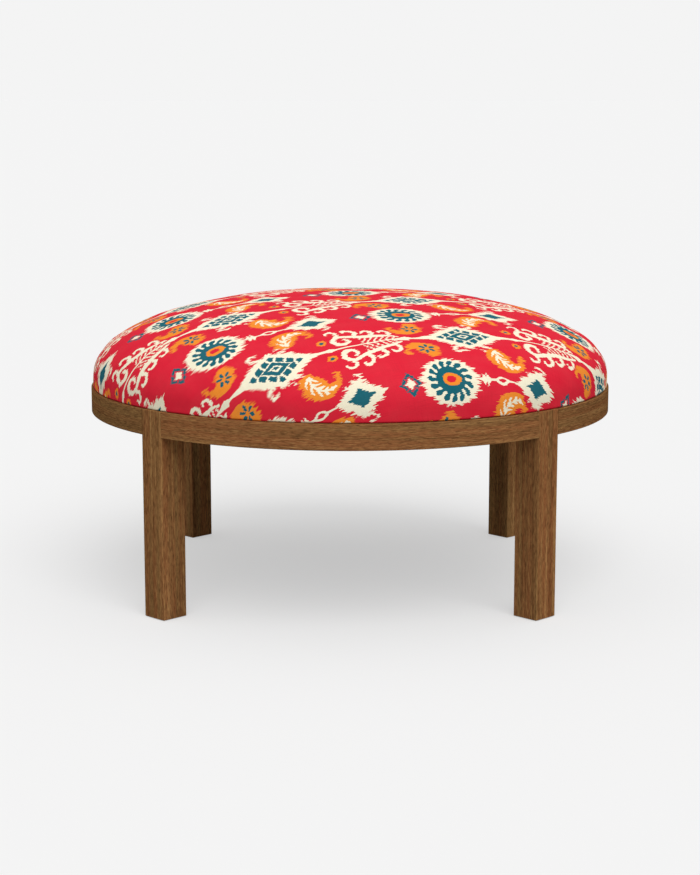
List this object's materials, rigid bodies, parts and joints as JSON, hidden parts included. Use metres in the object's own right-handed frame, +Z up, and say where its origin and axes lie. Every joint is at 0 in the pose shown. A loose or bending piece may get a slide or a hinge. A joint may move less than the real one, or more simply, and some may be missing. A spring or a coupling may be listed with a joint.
{
  "type": "round upholstered tuffet",
  "caption": "Round footstool with a domed fabric-covered seat on a flush wooden ring and square wooden legs set on the diagonals.",
  "frame": {"origin": "on the floor, under the middle of the seat", "axes": "+Z up; the front is towards -Y, and the legs lie on the diagonals between X and Y"},
  "size_m": [0.812, 0.812, 0.45],
  "materials": {
    "walnut": "open-pore satin lacquer",
    "softwood": "sawn and planed, unfinished",
    "beech": "unfinished",
    "plywood": "unfinished",
    "foam": "open-cell foam",
    "wadding": "polyester wadding",
    "printed_fabric": "heavy printed linen weave",
    "dust_cloth": "spun-bonded cloth",
    "zinc_steel": "zinc-plated",
    "nylon": "moulded"
  },
  "bodies": {
    "root": {"leg_front_left": "walnut", "corner_block_front_left": "softwood", "glide_front_left": "nylon", "leg_screw_front_left": "zinc_steel", "tenon_front_left_1": "beech", "rail_screw_front_left_1": "zinc_steel", "deck_screw_front_left_1": "zinc_steel", "tenon_front_left_2": "beech", "rail_screw_front_left_2": "zinc_steel", "deck_screw_front_left_2": "zinc_steel", "leg_front_right": "walnut", "corner_block_front_right": "softwood", "glide_front_right": "nylon", "leg_screw_front_right": "zinc_steel", "tenon_front_right_1": "beech", "rail_screw_front_right_1": "zinc_steel", "deck_screw_front_right_1": "zinc_steel", "tenon_front_right_2": "beech", "rail_screw_front_right_2": "zinc_steel", "deck_screw_front_right_2": "zinc_steel", "leg_back_right": "walnut", "corner_block_back_right": "softwood", "glide_back_right": "nylon", "leg_screw_back_right": "zinc_steel", "tenon_back_right_1": "beech", "rail_screw_back_right_1": "zinc_steel", "deck_screw_back_right_1": "zinc_steel", "tenon_back_right_2": "beech", "rail_screw_back_right_2": "zinc_steel", "deck_screw_back_right_2": "zinc_steel", "leg_back_left": "walnut", "corner_block_back_left": "softwood", "glide_back_left": "nylon", "leg_screw_back_left": "zinc_steel", "tenon_back_left_1": "beech", "rail_screw_back_left_1": "zinc_steel", "deck_screw_back_left_1": "zinc_steel", "tenon_back_left_2": "beech", "rail_screw_back_left_2": "zinc_steel", "deck_screw_back_left_2": "zinc_steel", "rail_front": "walnut", "rail_right": "walnut", "rail_back": "walnut", "rail_left": "walnut", "seat_deck": "plywood", "foam_base": "foam", "foam_crown": "foam", "wadding_wrap": "wadding", "seat_cover": "printed_fabric", "dust_cover": "dust_cloth"}
  },
  "joints": []
}
